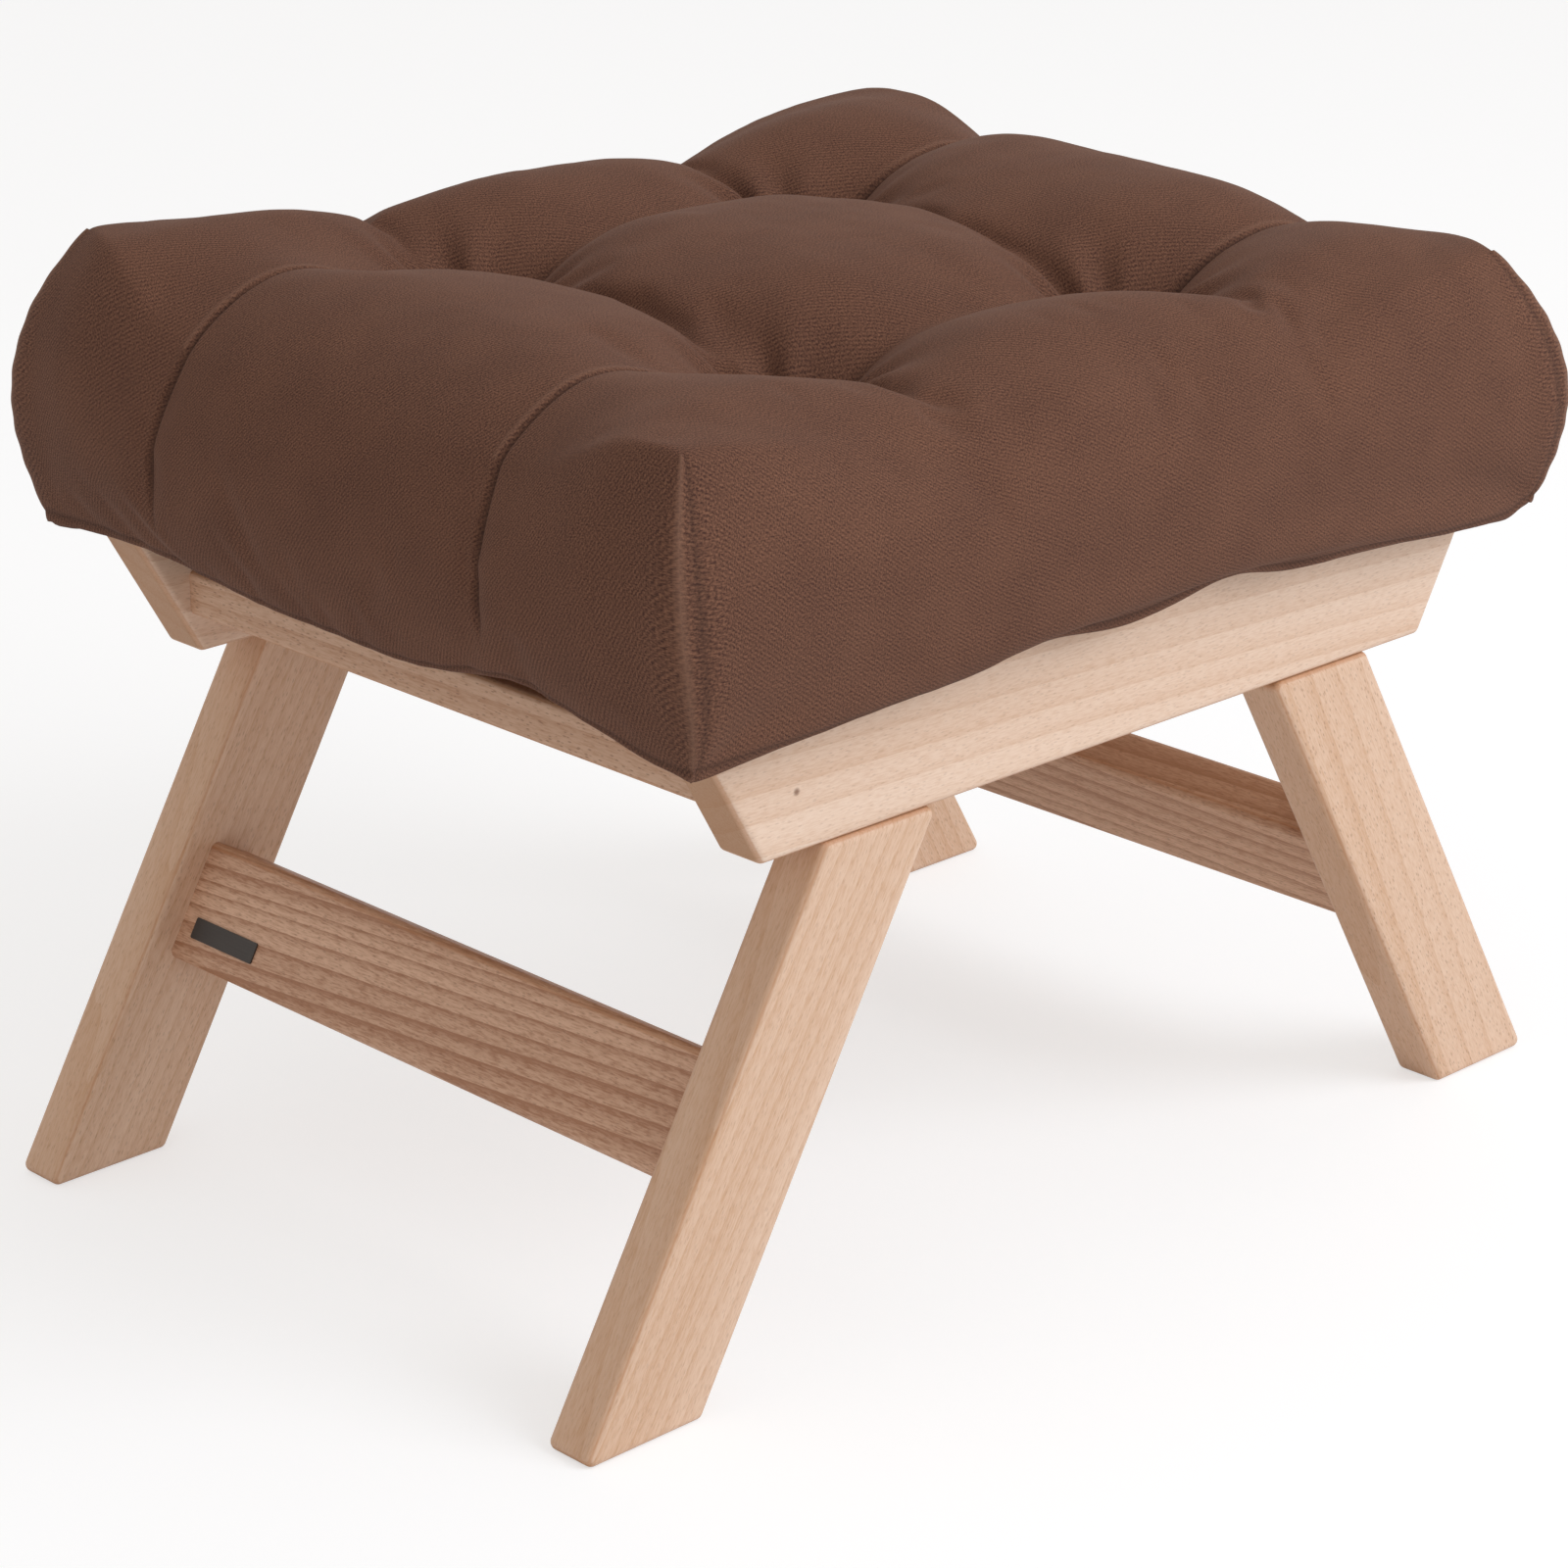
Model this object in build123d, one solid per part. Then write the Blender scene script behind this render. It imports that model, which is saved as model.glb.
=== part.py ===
from build123d import *
import os
from math import cos, radians, sin, tan

# Footstool: a dowelled beech frame on splayed legs, with a loose tufted cushion.
# Millimetres. +Z is up, +X runs along the side rails, and the origin is on the floor under the middle.

# Side rails
frame_width = 416.0
rail_thickness = 28.0
rail_height = 70.0
rail_top_length = 522.0
rail_underside = 250.0
rail_end_slope = 30.0
edge_round = 4.0

# Legs
leg_width = 60.0
leg_thickness = 28.0
leg_splay = 30.0
leg_end_inset = 38.5

# Stretchers
stretcher_width = 60.0
stretcher_thickness = 28.0
stretcher_middle_height = 120.0

# Seat slats
slat_count = 5
slat_width = 60.0
slat_thickness = 22.0
slat_rise = 20.5
slat_end_inset = 5.5
slat_edge_round = 3.0

# Dowels
leg_dowel_diameter = 10.0
leg_dowel_length = 45.0
leg_dowel_spacing = 30.0
stretcher_dowel_diameter = 8.0
stretcher_dowel_length = 36.0
stretcher_dowel_spacing = 32.0
slat_dowel_diameter = 8.0
slat_dowel_length = 36.0
slat_dowel_spacing = 32.0
glue_gap = 0.1
dowel_end_gap = 1.0

# Label plate on the left stretcher
label_length = 47.0
label_height = 10.5
label_thickness = 0.8
label_drop = 12.5
label_leg_gap = 10.0
label_corner = 1.0

# Cushion
cushion_height = 137.0
cushion_end_overhang = 22.0
cushion_side_overhang = 32.0
cushion_gap = 0.3
cover_thickness = 1.5
filling_gap = 0.5
hem_height = 5.0
hem_hang = 7.0
hem_rail_gap = 2.0
base_tuck = 12.0
shoulder_tuck = 20.0
shoulder_drop = 24.0
bulge_share = 0.48
outer_puff_drop = 3.0
puff_dip = 20.0
puff_flank = 7.0
row_drop = 13.0
row_flank = 9.0
flank_width = 26.0
row_flank_width = 30.0
tuft_spacing_x = 210.0
tuft_spacing_y = 220.0
tuft_depth = 60.0

# Ends of the cushion: how far each place lies from the end, and how far its crown drops there
end_shoulder_inset = 38.0
end_shoulder_drop = 8.0
end_edge_inset = 12.0
end_edge_drop = 28.0
end_face_drop = 58.0
end_face_rise = 25.0
end_face_tuck = 14.0

# Sag of the cushion between the rails, down to the slats
sag_side_gap = 2.0
sag_end_gap = 8.0
sag_slope = 28.0

# Tuft ties
tie_diameter = 2.4
tie_hole_gap = 0.2
knot_diameter = 9.0
knot_height = 2.5
pocket_gap = 1.0
recess_depth = 14.0
recess_mouth = 44.0

# Places worked out from the sizes above
rail_top = rail_underside + rail_height
rail_half_bottom = rail_top_length / 2 - rail_height * tan(radians(rail_end_slope))
rail_inner = frame_width / 2 - rail_thickness
leg_inner = frame_width / 2 - leg_thickness
leg_level_width = leg_width / cos(radians(leg_splay))
leg_top_outer = rail_half_bottom - leg_end_inset
leg_lean = tan(radians(leg_splay))
leg_foot_outer = leg_top_outer + rail_underside * leg_lean
slat_bottom = rail_underside + slat_rise
slat_top = slat_bottom + slat_thickness
slat_reach = rail_half_bottom + slat_rise * tan(radians(rail_end_slope)) - slat_end_inset
cushion_base = rail_top + cushion_gap
cushion_top = cushion_base + cushion_height
cushion_half_length = rail_top_length / 2 + cushion_end_overhang
cushion_half_width = frame_width / 2 + cushion_side_overhang
sag_base = slat_top + cushion_gap
tuft_floor = cushion_top - tuft_depth
recess_roof = sag_base + recess_depth
slat_pitch = (2 * slat_reach - slat_width) / (slat_count - 1)
slat_places = [-slat_reach + slat_width / 2 + slat_pitch * i for i in range(slat_count)]
tuft_places = [(i * tuft_spacing_x / 2, j * tuft_spacing_y / 2) for i in (-1, 1) for j in (-1, 1)]

parts_folder = "parts"
os.makedirs(parts_folder, exist_ok=True)


def write(node, shape):
    """Write one node, as one solid or a group of separate solids."""
    export_step(shape, os.path.join(parts_folder, node + ".step"))


def upright_board(outline, near_y, thickness):
    """A board standing in the XZ plane, cut to the outline, with every arris rounded over."""
    face = Face(Wire.make_polygon([Vector(x, near_y, z) for x, z in outline]))
    board = Solid.extrude(face, Vector(0, thickness, 0))
    return fillet(board.edges(), edge_round)


def rod(middle, direction, diameter, length):
    """A straight round rod centred on a point."""
    place = Plane(origin=middle, z_dir=direction)
    return place * Cylinder(diameter / 2, length)


def dowels(middles, direction, diameter, length):
    """One glued dowel for each middle point."""
    return [rod(middle, direction, diameter, length) for middle in middles]


def dowel_holes(middles, direction, diameter, length):
    """The holes for those dowels: wider by the glue gap and deeper at both ends."""
    return dowels(middles, direction, diameter + 2 * glue_gap, length + 2 * dowel_end_gap)


def mirrored(shape, end, side):
    """The copy of a right, back piece at the end (-1 left, 1 right) and side (-1 front, 1 back)."""
    if end < 0:
        shape = mirror(shape, Plane.YZ)
    if side < 0:
        shape = mirror(shape, Plane.XZ)
    return shape


# Dowel places on the right, back quarter of the frame
leg_axis_x = leg_top_outer - leg_level_width / 2 + leg_lean * leg_dowel_length / 4
leg_dowel_y = frame_width / 2 - min(leg_thickness, rail_thickness) / 2
leg_dowel_middles = [
    (leg_axis_x + shift * leg_dowel_spacing / 2, leg_dowel_y, rail_underside) for shift in (-1, 1)
]

along_leg = Vector(-sin(radians(leg_splay)), 0, cos(radians(leg_splay)))
out_of_leg = Vector(cos(radians(leg_splay)), 0, sin(radians(leg_splay)))
stretcher_x = leg_foot_outer - leg_level_width / 2 - leg_lean * stretcher_middle_height
stretcher_middle = Vector(stretcher_x, 0, stretcher_middle_height)
stretcher_dowel_middles = [
    stretcher_middle + along_leg * (shift * stretcher_dowel_spacing / 2) + Vector(0, leg_inner, 0)
    for shift in (-1, 1)
]

slat_dowel_middles = [
    (x + shift * slat_dowel_spacing / 2, rail_inner, slat_bottom + slat_thickness / 2)
    for x in slat_places
    for shift in (-1, 1)
]

leg_joint = (leg_dowel_middles, Vector(0, 0, 1), leg_dowel_diameter, leg_dowel_length)
stretcher_joint = (stretcher_dowel_middles, Vector(0, 1, 0), stretcher_dowel_diameter, stretcher_dowel_length)
slat_joint = (slat_dowel_middles, Vector(0, 1, 0), slat_dowel_diameter, slat_dowel_length)


# Side rails: trapezoids, longer at the top, drilled for the legs below and the slats inside
rail_outline = [
    (-rail_half_bottom, rail_underside),
    (rail_half_bottom, rail_underside),
    (rail_top_length / 2, rail_top),
    (-rail_top_length / 2, rail_top),
]
rail_holes = dowel_holes(*slat_joint)
for end in (-1, 1):
    rail_holes += [mirrored(hole, end, 1) for hole in dowel_holes(*leg_joint)]
back_rail = upright_board(rail_outline, rail_inner, rail_thickness) - rail_holes
write("back_rail", back_rail)
write("front_rail", mirrored(back_rail, 1, -1))

# Legs: cut level at the foot and under the rail
leg_outline = [
    (leg_foot_outer - leg_level_width, 0),
    (leg_foot_outer, 0),
    (leg_top_outer, rail_underside),
    (leg_top_outer - leg_level_width, rail_underside),
]
leg = upright_board(leg_outline, leg_inner, leg_thickness)
leg = leg - dowel_holes(*leg_joint) - dowel_holes(*stretcher_joint)

# Stretchers: straight boards between the legs of one end, in line with the slope of the legs
stretcher_length = 2 * leg_inner
stretcher_plane = Plane(origin=stretcher_middle, x_dir=out_of_leg, z_dir=(0, 1, 0))
stretcher = stretcher_plane * Box(stretcher_thickness, stretcher_width, stretcher_length)
stretcher = fillet(stretcher.edges().filter_by(Axis.Y), edge_round)
for side in (-1, 1):
    stretcher = stretcher - [mirrored(hole, 1, side) for hole in dowel_holes(*stretcher_joint)]

for end, end_name in ((-1, "left"), (1, "right")):
    write(end_name + "_stretcher", mirrored(stretcher, end, 1))
    stretcher_pins = []
    for side, side_name in ((-1, "front"), (1, "back")):
        corner = side_name + "_" + end_name
        write(corner + "_leg", mirrored(leg, end, side))
        leg_pins = [mirrored(pin, end, side) for pin in dowels(*leg_joint)]
        write(corner + "_leg_dowels", Compound(leg_pins))
        stretcher_pins += [mirrored(pin, end, side) for pin in dowels(*stretcher_joint)]
    write(end_name + "_stretcher_dowels", Compound(stretcher_pins))

# Seat slats: flat boards let in between the rails, below their top edges
slat_length = 2 * rail_inner
slat = Pos(0, 0, slat_bottom + slat_thickness / 2) * Box(slat_width, slat_length, slat_thickness)
slat = fillet(slat.edges().filter_by(Axis.Y), slat_edge_round)
all_slat_holes = [mirrored(hole, 1, side) for hole in dowel_holes(*slat_joint) for side in (-1, 1)]
for number, x in enumerate(slat_places, start=1):
    write("seat_slat_" + str(number), Pos(x, 0, 0) * slat - all_slat_holes)
for side, side_name in ((-1, "front"), (1, "back")):
    slat_pins = [mirrored(pin, 1, side) for pin in dowels(*slat_joint)]
    write(side_name + "_slat_dowels", Compound(slat_pins))

# Label plate: a thin blank plate glued to the outer face of the left stretcher
label_middle = stretcher_middle + out_of_leg * (stretcher_thickness / 2 + label_thickness / 2)
label_middle = label_middle - along_leg * label_drop
label_middle = label_middle + Vector(0, leg_inner - label_leg_gap - label_length / 2, 0)
label_plane = Plane(origin=label_middle, x_dir=(0, 1, 0), z_dir=out_of_leg)
label = label_plane * Box(label_length, label_height, label_thickness)
label = fillet(label.edges().filter_by(Axis(label_middle, out_of_leg)), label_corner)
write("label_plate", mirrored(label, -1, 1))


# Cushion: the same tufted form at three insets gives the cover's outside, its inside and the filling
def cushion_section(x, inset, near_row=0.0, relief=1.0, drop=0.0, rise=0.0, tuck=0.0):
    """Closed outline at one place along X: base with hanging hems, bulging sides and three puffs.
    near_row is 1 in a row of tufts, and relief is how much of the puffs' relief the place has."""
    half_width = cushion_half_width - tuck - inset
    base = cushion_base + rise + inset
    crown = cushion_top - drop - row_drop * near_row - inset
    outer_crown = crown - outer_puff_drop * relief
    shoulder = crown - shoulder_drop * relief
    bulge = base + bulge_share * (shoulder - base)
    flank = crown - puff_flank * relief - row_flank * near_row
    valley = crown - puff_dip * relief - (tuft_depth - row_drop - puff_dip) * near_row
    hem_y = frame_width / 2 + hem_rail_gap
    foot_y = half_width - base_tuck
    foot = base - hem_hang * relief
    shoulder_y = half_width - shoulder_tuck
    valley_y = tuft_spacing_y / 2
    flank_y = valley_y + flank_width
    inner_y = valley_y - flank_width
    puff_y = (shoulder_y + flank_y) / 2
    edges = [
        Line((x, -hem_y, base), (x, hem_y, base)),
        Line((x, hem_y, base), (x, foot_y, foot)),
        ThreePointArc((x, foot_y, foot), (x, half_width, bulge), (x, shoulder_y, shoulder)),
        ThreePointArc((x, shoulder_y, shoulder), (x, puff_y, outer_crown), (x, flank_y, flank)),
        Line((x, flank_y, flank), (x, valley_y, valley)),
        Line((x, valley_y, valley), (x, inner_y, flank)),
        ThreePointArc((x, inner_y, flank), (x, 0, crown), (x, -inner_y, flank)),
        Line((x, -inner_y, flank), (x, -valley_y, valley)),
        Line((x, -valley_y, valley), (x, -flank_y, flank)),
        ThreePointArc((x, -flank_y, flank), (x, -puff_y, outer_crown), (x, -shoulder_y, shoulder)),
        ThreePointArc((x, -shoulder_y, shoulder), (x, -half_width, bulge), (x, -foot_y, foot)),
        Line((x, -foot_y, foot), (x, -hem_y, base)),
    ]
    return Wire(edges)


def cushion_form(inset):
    """The stuffed form with its puffs, its tuft pockets and its sag, shrunk all round by the inset."""
    end_x = cushion_half_length - inset
    row_x = tuft_spacing_x / 2
    shoulder_x = cushion_half_length - end_shoulder_inset
    outer_flank_x = row_x + row_flank_width
    inner_flank_x = row_x - row_flank_width

    def flank(x):
        return cushion_section(x, inset, near_row=0.3)

    middle_puff = [flank(-inner_flank_x), cushion_section(0, inset), flank(inner_flank_x)]
    strips = [Solid.make_loft(middle_puff)]
    for end in (-1, 1):
        row = cushion_section(end * row_x, inset, near_row=1.0)
        puff = cushion_section(end * (outer_flank_x + shoulder_x) / 2, inset)
        shoulder = cushion_section(end * shoulder_x, inset, relief=0.8, drop=end_shoulder_drop)
        edge_x = cushion_half_length - end_edge_inset - inset
        edge = cushion_section(end * edge_x, inset, relief=0.6, drop=end_edge_drop)
        face = cushion_section(
            end * end_x, inset, relief=0.3, drop=end_face_drop, rise=end_face_rise, tuck=end_face_tuck
        )
        strips.append(Solid.make_loft([flank(end * inner_flank_x), row], ruled=True))
        strips.append(Solid.make_loft([row, flank(end * outer_flank_x)], ruled=True))
        strips.append(Solid.make_loft([flank(end * outer_flank_x), puff, shoulder]))
        strips.append(Solid.make_loft([shoulder, edge], ruled=True))
        strips.append(Solid.make_loft([edge, face], ruled=True))

    sag_floor = sag_base + inset
    sag_mouth = cushion_base + inset + cover_thickness
    sag_y = rail_inner - sag_side_gap - inset
    sag_x = slat_reach - sag_end_gap - inset
    mouth = Plane(origin=(0, 0, sag_mouth)) * Rectangle(2 * sag_x, 2 * sag_y)
    floor = Plane(origin=(0, 0, sag_floor)) * Rectangle(2 * (sag_x - sag_slope), 2 * (sag_y - sag_slope))
    strips.append(loft([floor.face(), mouth.face()], ruled=True))

    pockets = []
    for x, y in tuft_places:
        pocket_radius = knot_diameter / 2 + pocket_gap + inset
        pocket = Pos(x, y, tuft_floor - inset) * Cylinder(
            pocket_radius, tuft_depth + inset, align=(Align.CENTER, Align.CENTER, Align.MIN)
        )
        recess = Pos(x, y, sag_base) * Cone(
            recess_mouth / 2 + inset,
            knot_diameter / 2 + pocket_gap + inset,
            recess_depth + inset,
            align=(Align.CENTER, Align.CENTER, Align.MIN),
        )
        pockets += [pocket, recess]
    return strips[0] + strips[1:] - pockets


tie_length = tuft_floor - recess_roof
tie_middle_z = (tuft_floor + recess_roof) / 2


def tie_holes(gap):
    """The four upright channels that the ties run in."""
    return [
        Pos(x, y, tie_middle_z) * Cylinder(tie_diameter / 2 + gap, tie_length + 4 * cover_thickness)
        for x, y in tuft_places
    ]


cover = cushion_form(0) - cushion_form(cover_thickness) - tie_holes(tie_hole_gap)
hem = cushion_base + hem_height
cover_reach = 4 * cushion_half_length
below_hem = Pos(0, 0, hem) * Box(
    cover_reach, cover_reach, cover_reach, align=(Align.CENTER, Align.CENTER, Align.MAX)
)
write("cushion_cover", cover - below_hem)
write("cushion_base", cover & below_hem)
write("cushion_filling", cushion_form(cover_thickness + filling_gap) - tie_holes(tie_hole_gap))

# Tuft ties: a cord through the cushion with a knot in the pocket above and in the recess below
ties = []
for x, y in tuft_places:
    cord = Pos(x, y, tie_middle_z) * Cylinder(tie_diameter / 2, tie_length)
    top_knot = Pos(x, y, tuft_floor + knot_height / 2) * Cylinder(knot_diameter / 2, knot_height)
    under_knot = Pos(x, y, recess_roof - knot_height / 2) * Cylinder(knot_diameter / 2, knot_height)
    ties.append((cord + top_knot + under_knot).solid())
write("tuft_ties", Compound(ties))
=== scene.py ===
from math import atan2, cos, exp, hypot, pi, radians, sin

import bmesh
import bpy
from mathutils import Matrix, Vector, noise


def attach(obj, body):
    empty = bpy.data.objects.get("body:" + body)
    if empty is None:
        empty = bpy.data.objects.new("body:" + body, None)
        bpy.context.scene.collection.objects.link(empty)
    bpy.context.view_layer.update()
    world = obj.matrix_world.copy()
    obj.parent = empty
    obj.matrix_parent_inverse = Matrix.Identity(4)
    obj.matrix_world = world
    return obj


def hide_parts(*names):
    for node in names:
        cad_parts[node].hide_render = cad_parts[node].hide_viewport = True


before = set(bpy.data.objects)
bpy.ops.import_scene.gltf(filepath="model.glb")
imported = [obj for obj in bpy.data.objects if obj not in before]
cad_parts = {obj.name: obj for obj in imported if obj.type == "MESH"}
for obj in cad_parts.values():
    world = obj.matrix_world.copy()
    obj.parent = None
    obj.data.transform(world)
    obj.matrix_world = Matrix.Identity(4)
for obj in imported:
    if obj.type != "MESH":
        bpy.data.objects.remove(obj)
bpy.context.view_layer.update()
scene = bpy.context.scene

# Side rails: two trapezoid boards of planed and oiled beech, every arris rounded over with a router.
# They carry the slats inside and stand on the legs, so their long grain runs level, along X.
millimetre = 0.001
splay = radians(30)


def linear(hex_colour):
    """An sRGB hex colour as the linear values that a shader takes."""
    channels = [int(hex_colour[i:i + 2], 16) / 255 for i in (1, 3, 5)]
    return [c / 12.92 if c <= 0.04045 else ((c + 0.055) / 1.055) ** 2.4 for c in channels] + [1.0]


def add(tree, kind, sockets=None, **settings):
    """Add one node with its settings, and give each named socket a value or a link."""
    made = tree.nodes.new(kind)
    for key, value in settings.items():
        setattr(made, key, value)
    for name, source in (sockets or {}).items():
        if isinstance(source, bpy.types.NodeSocket):
            tree.links.new(source, made.inputs[name])
        else:
            made.inputs[name].default_value = source
    return made


def new_material(name):
    """An empty node material: its tree, and the surface shader that feeds its output."""
    material = bpy.data.materials.new(name)
    material.use_nodes = True
    tree = material.node_tree
    tree.nodes.clear()
    surface = add(tree, "ShaderNodeBsdfPrincipled")
    add(tree, "ShaderNodeOutputMaterial", {"Surface": surface.outputs["BSDF"]})
    return material, tree, surface


def beech(name, turn, pith, pale, dark, ring_width, ring_strength, fleck_strength, knot=None):
    """Oiled beech: pinkish tan, faint growth rings, fine long pores and short dark ray flecks, with
    browner end grain, darkened further as painted shade, and arrises burnished by the router. Faces across
    the board's thickness get a browner tone: partly the edge grain's own, partly painted shade where they
    turn from the lamp. turn lays the grain along the board, pith is where the tree's middle was and knot
    the place of a pin knot, both in millimetres."""
    material, tree, surface = new_material(name)
    place = add(tree, "ShaderNodeTexCoord")
    grain_stretch = 30.0
    tree_lean = (0.0, 0.05, 0.03)
    board = add(tree, "ShaderNodeMapping", {
        "Vector": place.outputs["Object"],
        "Location": [shift * millimetre for shift in pith],
        "Rotation": [angle + lean for angle, lean in zip(turn, tree_lean)],
        "Scale": (grain_stretch * millimetre, millimetre, millimetre),
    }, vector_type="TEXTURE")
    rings = add(tree, "ShaderNodeTexWave", {
        "Vector": board.outputs["Vector"],
        "Scale": 2 * pi / (20 * ring_width),
        "Distortion": 6.0,
        "Detail": 2.0,
        "Detail Scale": 0.6,
    }, wave_type="RINGS", rings_direction="X", wave_profile="SAW")
    patches = add(tree, "ShaderNodeTexNoise", {
        "Vector": board.outputs["Vector"], "Scale": 0.035, "Detail": 2.0, "Roughness": 0.5})
    pore_place = add(tree, "ShaderNodeMapping", {
        "Vector": place.outputs["Object"],
        "Rotation": turn,
        "Scale": (7.0 * millimetre, 0.8 * millimetre, 0.8 * millimetre),
    }, vector_type="TEXTURE")
    pores = add(tree, "ShaderNodeTexNoise", {
        "Vector": pore_place.outputs["Vector"], "Scale": 1.0, "Detail": 2.0, "Roughness": 0.6})
    fleck_place = add(tree, "ShaderNodeMapping", {
        "Vector": place.outputs["Object"],
        "Rotation": turn,
        "Scale": (5.0 * millimetre, 1.5 * millimetre, 1.5 * millimetre),
    }, vector_type="TEXTURE")
    flecks = add(tree, "ShaderNodeTexVoronoi", {
        "Vector": fleck_place.outputs["Vector"], "Scale": 1.0, "Randomness": 1.0})
    fleck = add(tree, "ShaderNodeMapRange", {
        "Value": flecks.outputs["Distance"],
        "From Min": 0.14, "From Max": 0.3, "To Min": fleck_strength, "To Max": 0.0})
    late_wood = add(tree, "ShaderNodeMath", {0: rings.outputs["Fac"], 1: 3.0}, operation="POWER")
    ring_tone = add(tree, "ShaderNodeMath", {
        0: late_wood.outputs["Value"], 1: ring_strength}, operation="MULTIPLY")
    patch_tone = add(tree, "ShaderNodeMapRange", {
        "Value": patches.outputs["Fac"],
        "From Min": 0.3, "From Max": 0.7, "To Min": 0.0, "To Max": 0.45})
    pore_tone = add(tree, "ShaderNodeMapRange", {
        "Value": pores.outputs["Fac"],
        "From Min": 0.42, "From Max": 0.7, "To Min": 0.0, "To Max": 0.55})
    tone = add(tree, "ShaderNodeMath", {
        0: ring_tone.outputs["Value"], 1: patch_tone.outputs["Result"]}, operation="ADD")
    tone = add(tree, "ShaderNodeMath", {
        0: tone.outputs["Value"], 1: pore_tone.outputs["Result"]}, operation="ADD", use_clamp=True)
    wood = add(tree, "ShaderNodeMix", {
        "Factor": tone.outputs["Value"], 6: linear(pale), 7: linear(dark)}, data_type="RGBA")
    wood = add(tree, "ShaderNodeMix", {
        "Factor": fleck.outputs["Result"], 6: wood.outputs[2], 7: linear("#8a5f43")}, data_type="RGBA")
    facing = add(tree, "ShaderNodeMapping", {
        "Vector": place.outputs["Normal"], "Rotation": turn}, vector_type="TEXTURE")
    facing = add(tree, "ShaderNodeVectorMath", {0: facing.outputs["Vector"]}, operation="ABSOLUTE")
    facing = add(tree, "ShaderNodeSeparateXYZ", {"Vector": facing.outputs["Vector"]})
    squarest = add(tree, "ShaderNodeMath", {
        0: facing.outputs["Y"], 1: facing.outputs["Z"]}, operation="MAXIMUM")
    squarest = add(tree, "ShaderNodeMath", {
        0: facing.outputs["X"], 1: squarest.outputs["Value"]}, operation="MAXIMUM")
    arris = add(tree, "ShaderNodeMapRange", {
        "Value": squarest.outputs["Value"],
        "From Min": 0.74, "From Max": 0.86, "To Min": 0.5, "To Max": 0.0})
    # End grain: its own browner tone, made deeper still as painted shade on the ends that face away from
    # the lamp.
    end_grain_and_shade = add(tree, "ShaderNodeMapRange", {
        "Value": facing.outputs["X"], "From Min": 0.7, "From Max": 0.85, "To Min": 0.0, "To Max": 0.7})
    wood = add(tree, "ShaderNodeMix", {
        "Factor": end_grain_and_shade.outputs["Result"], 6: wood.outputs[2], 7: linear("#a5703f")}, data_type="RGBA")
    # Faces across the thickness: partly the edge grain's browner tone, partly painted shade, since on the
    # legs these are the faces turned from the lamp.
    edge_grain_and_shade = add(tree, "ShaderNodeMapRange", {
        "Value": facing.outputs["Z"], "From Min": 0.7, "From Max": 0.9, "To Min": 0.0, "To Max": 0.3})
    wood = add(tree, "ShaderNodeMix", {
        "Factor": edge_grain_and_shade.outputs["Result"], 6: wood.outputs[2], 7: linear("#bd8a5f")}, data_type="RGBA")
    wood = add(tree, "ShaderNodeMix", {
        "Factor": arris.outputs["Result"], 6: wood.outputs[2], 7: linear("#bd8356")}, data_type="RGBA")
    if knot:
        from_knot = add(tree, "ShaderNodeVectorMath", {
            0: place.outputs["Object"], 1: [shift * millimetre for shift in knot]}, operation="DISTANCE")
        knot_tone = add(tree, "ShaderNodeMapRange", {
            "Value": from_knot.outputs["Value"],
            "From Min": 0.8 * millimetre, "From Max": 2.2 * millimetre, "To Min": 0.75, "To Max": 0.0})
        wood = add(tree, "ShaderNodeMix", {
            "Factor": knot_tone.outputs["Result"], 6: wood.outputs[2], 7: linear("#6e452c"),
        }, data_type="RGBA")
    tree.links.new(wood.outputs[2], surface.inputs["Base Color"])
    surface.inputs["IOR"].default_value = 1.48
    rough = add(tree, "ShaderNodeMapRange", {
        "Value": pores.outputs["Fac"],
        "From Min": 0.2, "From Max": 0.8, "To Min": 0.5, "To Max": 0.64})
    tree.links.new(rough.outputs["Result"], surface.inputs["Roughness"])
    bump = add(tree, "ShaderNodeBump", {
        "Height": pores.outputs["Fac"], "Strength": 0.25, "Distance": 0.3 * millimetre})
    tree.links.new(bump.outputs["Normal"], surface.inputs["Normal"])
    return material


def dress(node, material):
    """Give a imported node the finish."""
    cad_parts[node].material_slots[0].material = material


level_along_x = (0, 0, 0)
pin_knot = (-200.7, -208, 278.7)
dress("front_rail", beech(
    "beech_front_rail", level_along_x, pith=(90, -120, 460), pale="#ecd2bd", dark="#d8b59a",
    ring_width=13.0, ring_strength=0.45, fleck_strength=0.2, knot=pin_knot))
dress("back_rail", beech(
    "beech_back_rail", level_along_x, pith=(-40, 90, 440), pale="#e9ceb8", dark="#d5b094",
    ring_width=12.0, ring_strength=0.45, fleck_strength=0.25))

# Legs: four splayed boards of the same beech, cut level at the foot and glued under the rails.
# Their grain runs along the leg, so it leans with the splay.
for corner, lean, pith, ring_width, flecks in (
    ("front_left", 1, (0, -90, 30), 8.0, 0.2),
    ("front_right", -1, (120, -170, -20), 16.0, 0.4),
    ("back_left", 1, (60, 260, 10), 7.0, 0.3),
    ("back_right", -1, (-70, 240, 25), 9.0, 0.35),
):
    up_the_leg = (0, lean * splay - pi / 2, 0)
    dress(corner + "_leg", beech(
        "beech_" + corner + "_leg", up_the_leg, pith, pale="#e7c9b1", dark="#d0a888",
        ring_width=ring_width, ring_strength=0.4, fleck_strength=flecks))

# Stretchers: straight boards of the same beech, dowelled and glued between the two legs of one end.
# They keep the sides of the frame apart and upright, and their straight grain runs level, along Y.
level_along_y = (0, 0, pi / 2)
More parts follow.
